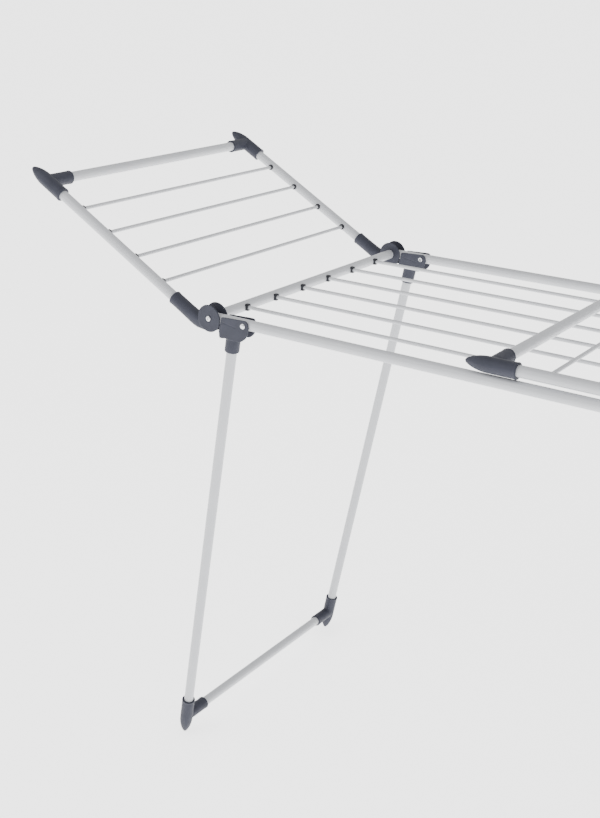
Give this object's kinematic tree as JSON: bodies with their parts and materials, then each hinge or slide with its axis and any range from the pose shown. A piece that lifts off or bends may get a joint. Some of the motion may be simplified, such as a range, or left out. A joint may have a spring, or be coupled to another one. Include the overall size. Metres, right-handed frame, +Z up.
{
  "type": "clothes drying rack",
  "caption": "Free-standing winged clothes airer: tubular centre frame with lengthwise wires, two folding wings and two splayed folding leg frames.",
  "frame": {"origin": "centre of the bounding box on the floor, with the left wing raised on its stop and the right wing folded flat", "axes": "+X along the rack from the left wing to the right one, +Y from front to rear, +Z up"},
  "size_m": [1.455, 0.5874, 1.0855],
  "materials": {
    "enamel": "white satin enamel",
    "plastic": "dark slate grey, fine satin",
    "plated_steel": "bright zinc plate"
  },
  "bodies": {
    "frame": {"frame_side_tube_front": "enamel", "frame_side_tube_rear": "enamel", "frame_wire_1": "enamel", "frame_wire_2": "enamel", "frame_wire_3": "enamel", "frame_wire_4": "enamel", "frame_wire_5": "enamel", "frame_wire_6": "enamel", "left_cross_tube": "enamel", "left_hinge_pin_front": "plated_steel", "left_hinge_pin_rear": "plated_steel", "left_leg_rivet_front": "plated_steel", "left_leg_rivet_rear": "plated_steel", "right_cross_tube": "enamel", "right_hinge_pin_front": "plated_steel", "right_hinge_pin_rear": "plated_steel", "right_leg_rivet_front": "plated_steel", "right_leg_rivet_rear": "plated_steel"},
    "left_wing": {"left_wing_side_tube_front": "enamel", "left_wing_side_tube_rear": "enamel", "left_wing_corner_front": "plastic", "left_wing_corner_rear": "plastic", "left_wing_elbow_front": "plastic", "left_wing_elbow_rear": "plastic", "left_wing_end_tube": "enamel", "left_wing_wire_1": "enamel", "left_wing_wire_2": "enamel", "left_wing_wire_3": "enamel", "left_wing_wire_4": "enamel"},
    "left_legs": {"left_leg_tube_front": "enamel", "left_leg_tube_rear": "enamel", "left_leg_bracket_front": "plastic", "left_leg_bracket_rear": "plastic", "left_foot_front": "plastic", "left_foot_rear": "plastic", "left_foot_tube": "enamel"},
    "right_wing": {"right_wing_side_tube_front": "enamel", "right_wing_side_tube_rear": "enamel", "right_wing_corner_front": "plastic", "right_wing_corner_rear": "plastic", "right_wing_elbow_front": "plastic", "right_wing_elbow_rear": "plastic", "right_wing_end_tube": "enamel", "right_wing_wire_1": "enamel", "right_wing_wire_2": "enamel", "right_wing_wire_3": "enamel", "right_wing_wire_4": "enamel"},
    "right_legs": {"right_leg_tube_front": "enamel", "right_leg_tube_rear": "enamel", "right_leg_bracket_front": "plastic", "right_leg_bracket_rear": "plastic", "right_foot_front": "plastic", "right_foot_rear": "plastic", "right_foot_tube": "enamel"}
  },
  "joints": [
    {"name": "left_wing_hinge", "type": "hinge", "parent": "frame", "child": "left_wing", "pos_m": [-0.31903, 0, 0.88315], "axis": [0, 1, 0], "range_deg": [0, 150.93]},
    {"name": "right_wing_hinge", "type": "hinge", "parent": "frame", "child": "right_wing", "pos_m": [0.60097, 0, 0.88315], "axis": [0, 1, 0], "range_deg": [0, 150.93]},
    {"name": "left_leg_hinge", "type": "hinge", "parent": "frame", "child": "left_legs", "pos_m": [-0.24803, 0, 0.88315], "axis": [0, -1, 0], "range_deg": [0, 100.69]},
    {"name": "right_leg_hinge", "type": "hinge", "parent": "frame", "child": "right_legs", "pos_m": [0.52997, 0, 0.88315], "axis": [0, 1, 0], "range_deg": [0, 97.5]}
  ]
}
